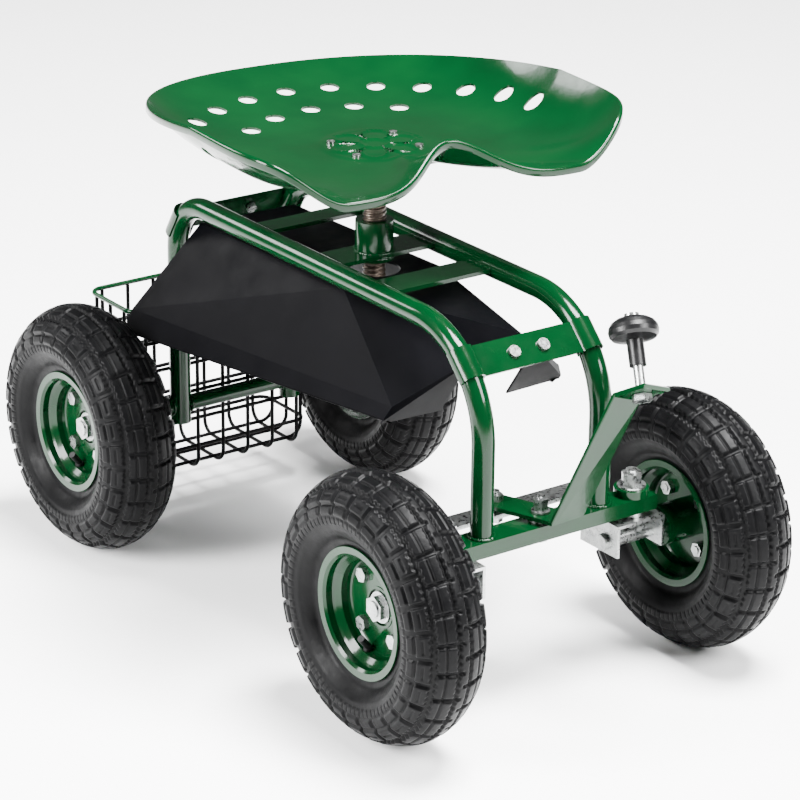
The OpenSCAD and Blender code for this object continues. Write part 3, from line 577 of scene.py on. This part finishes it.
def seat_holes():
    """One mesh of upright rods that cut every hole of the pan."""
    verts, faces = [], []

    def rod(x, y, radius, sides):
        base = len(verts)
        for z in (440, 540):
            for k in range(sides):
                a = 2 * math.pi * k / sides
                at = (x + radius * math.cos(a), y + radius * math.sin(a), z)
                verts.append([v * MM for v in at])
        for k in range(sides):
            j = (k + 1) % sides
            faces.append([base + k, base + j, base + sides + j, base + sides + k])
        faces.append([base + k for k in reversed(range(sides))])
        faces.append([base + sides + k for k in range(sides)])

    for count, radius, pitch in HOLE_ARCS:
        for k in range(count):
            a = math.radians((k - (count - 1) / 2) * pitch)
            rod(radius * math.sin(a), radius * math.cos(a), HOLE_R, 40)
    for x in (-BOLT_X, BOLT_X):
        for y in (-BOLT_Y, BOLT_Y):
            rod(x, y, BOLT_HOLE_R, 20)
    for k in range(6):
        a = math.radians(60 * k + 30)
        rod(FLOWER_HOLE_RING * math.cos(a), FLOWER_HOLE_RING * math.sin(a), FLOWER_HOLE_R, 16)
    return verts, faces


def cut(name, mesh, tool_mesh):
    """Mesh less the tool, worked out once by a Boolean modifier on spare objects."""
    body = bpy.data.objects.new(name + "_body", mesh)
    tool = bpy.data.objects.new(name + "_tool", tool_mesh)
    for obj in (body, tool):
        bpy.context.scene.collection.objects.link(obj)
    mod = body.modifiers.new("cut", "BOOLEAN")
    mod.operation = "DIFFERENCE"
    mod.solver = "EXACT"
    mod.object = tool
    graph = bpy.context.evaluated_depsgraph_get()
    result = bpy.data.meshes.new_from_object(body.evaluated_get(graph))
    for obj in (body, tool):
        bpy.data.objects.remove(obj)
    return result


def add_seat():
    pan = cut("seat", mesh_of("pan", *seat_mesh()), mesh_of("holes", *seat_holes()))
    pan.name = "seat_pan_pressed"
    pan.materials.clear()
    pan.materials.append(MATERIALS["green_paint"])
    smooth_by_angle(pan, 38)
    place("seat_pan_pressed", pan, "green_paint", "seat", ["seat_pan"], seat_matrix())


# ---- seat screw ------------------------------------------------------------------

def add_screw():
    """The seat's screw with its thread, as a height over angle and height along the axis."""
    low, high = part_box("seat_screw")
    radius = (high[0] - low[0]) / 2
    pitch, depth, row_step = 5 * MM, 1.5 * MM, 0.42 * MM
    cols = 72
    rows = int((high[2] - low[2]) / row_step)
    theta = np.arange(cols) * 2 * math.pi / cols
    z = np.linspace(low[2], high[2], rows)
    tt, zz = np.meshgrid(theta, z)
    f = (zz / pitch - tt / (2 * math.pi)) % 1
    wave = smoothstep(0.12, 0.34, f) * (1 - smoothstep(0.62, 0.86, f))
    ends = np.minimum(smoothstep(0, 2 * MM, zz - low[2]), smoothstep(0, 2 * MM, high[2] - zz))
    rr = radius - depth * (1 - wave * ends)
    verts = np.stack([rr * np.cos(tt), rr * np.sin(tt) + SEAT["axis_y"] * MM, zz], -1)
    verts = verts.reshape(-1, 3)
    faces = [list(q) for q in grid_faces(rows, cols, wrap_cols=True)]
    faces.append([k for k in reversed(range(cols))])
    faces.append([(rows - 1) * cols + k for k in range(cols)])
    mesh = mesh_of("screw_thread", verts, faces)
    smooth_by_angle(mesh, 50)
    place("screw_thread", mesh, "dark_screw", "screw", ["seat_screw"])


# ---- welds --------------------------------------------------------------------------

def bead(name, points, body, radius=1.9 * MM, closed=False, slot="green_paint", ripple=1):
    """A weld bead along a path, or a plain rod where ripple is 0."""
    points = [Vector(p) for p in points]
    step = 0.9 * MM
    path = []
    pairs = zip(points, points[1:] + points[:1] if closed else points[1:])
    for a, b in pairs:
        n = max(1, int((b - a).length / step))
        path += [a.lerp(b, k / n) for k in range(n)]
    if not closed:
        path.append(points[-1])
    sides = 8
    verts = []
    count = len(path)
    for i, p in enumerate(path):
        before = path[i - 1] if i or closed else p
        after = path[(i + 1) % count] if closed or i + 1 < count else p
        along = (after - before).normalized()
        u = along.orthogonal().normalized()
        v = along.cross(u)
        r = radius * (1 + ripple * (0.13 * math.sin(i * 1.7) + 0.10 * RNG.standard_normal()))
        for k in range(sides):
            a = 2 * math.pi * k / sides
            verts.append(p + (u * math.cos(a) + v * math.sin(a)) * r)
    faces = [list(q) for q in grid_faces(count, sides, wrap_rows=closed, wrap_cols=True)]
    if not closed:
        faces.append(list(range(sides))[::-1])
        faces.append([(count - 1) * sides + k for k in range(sides)])
    piece(name, verts, faces, slot, body)


def ring(center, radius, axis="Z", count=40):
    """Points of a circle about Z or X."""
    c = Vector(center)
    for k in range(count):
        a = 2 * math.pi * k / count
        u, v = radius * math.cos(a), radius * math.sin(a)
        yield c + (Vector((u, v, 0)) if axis == "Z" else Vector((0, u, v)))


AXLE_WELD_R = 0.0092
COLLAR_WELD_R = 0.0193


def add_welds():
    """Beads where the legs, axle tube, cross flats and collar are welded."""
    bar_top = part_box("front_crossbar")[1][2]
    leg_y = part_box("rail_left")[0][1] + TUBE_R
    plate_low, plate_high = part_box("seat_cross_plate")
    for side, tag in ((1, "left"), (-1, "right")):
        x = side * RAIL_X
        bead("weld_front_leg_" + tag, ring((x, leg_y, bar_top + 0.0006), TUBE_R + 0.0008),
             "frame", closed=True)
        for end in (-1, 1):
            around = ring((x + end * TUBE_R, AXLE_Y, AXLE_Z), AXLE_WELD_R, "X", 30)
            bead("weld_axle_%s_%d" % (tag, end), around, "frame", 1.5 * MM, True)
        for flat in ("front_cross_flat", "rear_cross_flat", "seat_cross_plate"):
            low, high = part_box(flat)
            edge = x - side * TUBE_R
            for z, level in ((high[2], "top"), (low[2], "low")):
                bead("weld_%s_%s_%s" % (flat, tag, level),
                     [(edge, low[1] + 0.001, z), (edge, high[1] - 0.001, z)], "frame", 1.5 * MM)
    collar_y = SEAT["axis_y"] * MM
    for z, level in ((plate_high[2], "top"), (plate_low[2], "low")):
        bead("weld_collar_" + level, ring((0, collar_y, z), COLLAR_WELD_R), "frame", 1.6 * MM, True)


# ---- tray hems --------------------------------------------------------------------

# mm, as in the CAD: the tray falls from its top to its folds, then more steeply to its edges
TRAY = dict(top=341.7, fall=0.733, pitch=0.023, band_fall=1.95, front=-225.5, sweep=0.65,
            fold_x=107.1, fold_grow=0.054, edge_x=116, edge_grow=0.071,
            fold_rear=(121.4, 268), edge_rear=(132.5, 269))
FLANGE_W, FLANGE_DROP, FLANGE_T = 9, 5, 1.2
FLANGE_SHARE = 0.62       # how far back along the edge the flange runs


def tray_lines(side):
    """Fold and lower edge of the tray's side band, each from front to rear, in metres."""
    def slope(x, y):
        return TRAY["top"] - TRAY["fall"] * x - TRAY["pitch"] * y

    def band(x, y):
        fold = TRAY["fold_x"] + TRAY["fold_grow"] * y
        return slope(fold, y) - TRAY["band_fall"] * (x - fold)

    def front(x0, grow):
        x = (x0 + grow * TRAY["front"]) / (1 - grow * TRAY["sweep"])
        return x, TRAY["front"] + TRAY["sweep"] * x

    def line(start, end, height):
        return [Vector((side * x, y, height(x, y))) * MM for x, y in (start, end)]

    fold = line(front(TRAY["fold_x"], TRAY["fold_grow"]), TRAY["fold_rear"], slope)
    edge = line(front(TRAY["edge_x"], TRAY["edge_grow"]), TRAY["edge_rear"], band)
    return fold, edge


def add_tray_hems():
    """Rounded folds, and the flange turned in under each side band."""
    for side, tag in ((1, "left"), (-1, "right")):
        fold, edge = tray_lines(side)
        bead("tray_fold_" + tag, fold, "frame", 0.9 * MM, slot="black_sheet", ripple=0)
        bead("tray_hem_" + tag, edge, "frame", 1.2 * MM, slot="black_sheet", ripple=0)
        front, rear = edge
        rear = front.lerp(rear, FLANGE_SHARE)
        inward = Vector((-side * FLANGE_W, 0, -FLANGE_DROP)) * MM
        corners = [front, rear, rear + inward, front + inward]
        down = Vector((0, 0, -FLANGE_T * MM))
        verts = corners + [c + down for c in corners]
        faces = [(0, 1, 2, 3), (7, 6, 5, 4), (0, 4, 5, 1), (1, 5, 6, 2), (2, 6, 7, 3), (3, 7, 4, 0)]
        piece("tray_flange_" + tag, verts, faces, "black_sheet", "frame", smooth=False)


WIRE_COAT = 0.4 * MM


def thicken_wires():
    """Adds 0.4 mm all round to the basket's wires each time it is called."""
    for name, obj in NODES.items():
        if name.startswith("basket_") and name not in ("basket_rim", "basket_brackets"):
            coat = obj.modifiers.new("coat", "DISPLACE")
            coat.mid_level = 0.0
            coat.strength = WIRE_COAT


# ---- floor ----------------------------------------------------------------------

def add_floor():
    size = 14.0
    corners = [(-size, -size, 0), (size, -size, 0), (size, size, 0), (-size, size, 0)]
    mesh = mesh_of("floor", corners, [(0, 1, 2, 3)])
    floor = bpy.data.objects.new("floor", mesh)
    mesh.materials.append(floor_paint())
    bpy.context.scene.collection.objects.link(floor)


add_camera()
add_light()
add_floor()
dress_nodes()
add_tyres()
add_seat()
add_screw()
add_welds()
add_tray_hems()
thicken_wires()
# a second call of both: hems that lie on the first ones, and wires 1.6 mm thicker in all
add_tray_hems()
thicken_wires()
